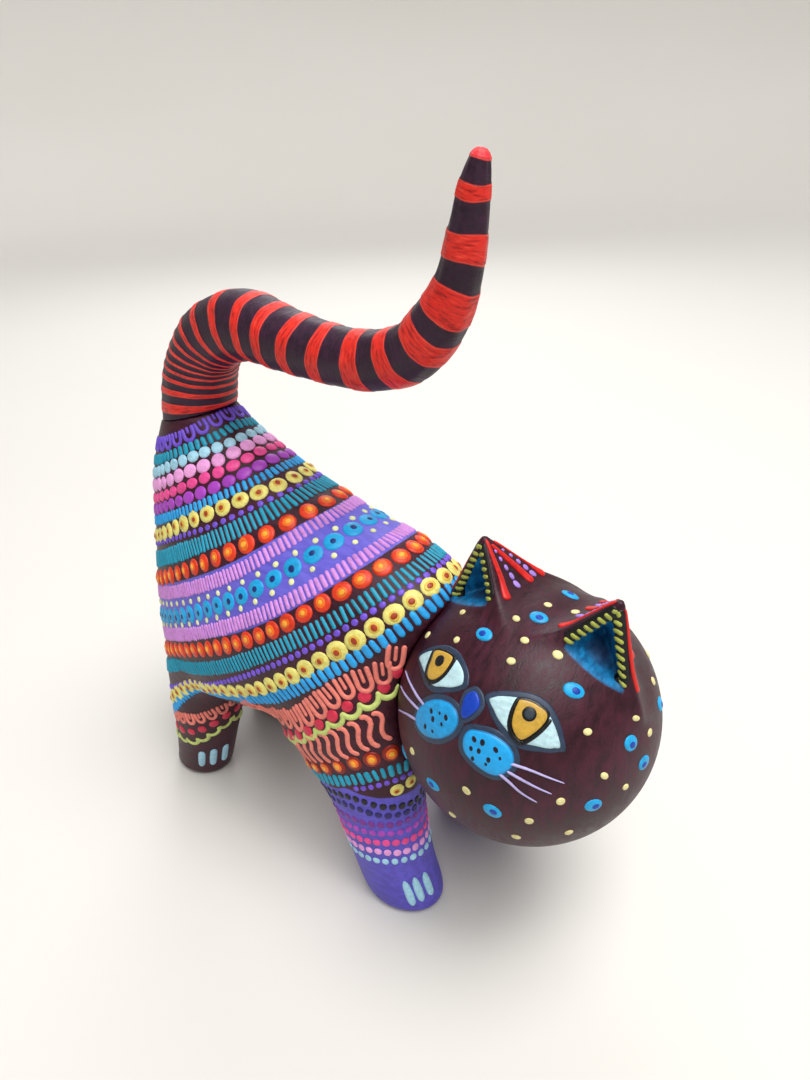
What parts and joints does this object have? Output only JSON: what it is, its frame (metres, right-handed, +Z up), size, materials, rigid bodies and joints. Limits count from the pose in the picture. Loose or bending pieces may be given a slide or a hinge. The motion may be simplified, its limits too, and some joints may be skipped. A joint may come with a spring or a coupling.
{
  "type": "carved cat figure",
  "caption": "Hand-painted carved wooden cat on four legs, ball head turned to its right, and an S-shaped tail that pulls off its peg.",
  "frame": {"origin": "on the surface that the four soles stand on, under the middle of the figure's box", "axes": "+Z up, -Y where the chest points, +X the cat's left"},
  "size_m": [0.046, 0.1188, 0.1371],
  "materials": {
    "body_paint": "matte acrylic paint on sanded copal, with raised dots and strokes",
    "head_paint": "matte acrylic paint on sanded copal, with raised dots and a painted face",
    "tail_paint": "matte acrylic paint in brushed stripes on sanded copal",
    "bare_wood": "unpainted turned wood"
  },
  "bodies": {
    "figure": {"body": "body_paint", "head": "head_paint", "neck_peg": "bare_wood"},
    "tail": {"tail": "tail_paint", "tail_peg": "bare_wood"}
  },
  "joints": [
    {"name": "tail_pull", "type": "slide", "parent": "figure", "child": "tail", "axis": [0, 0, 1], "range_m": [0, 0.015]}
  ]
}
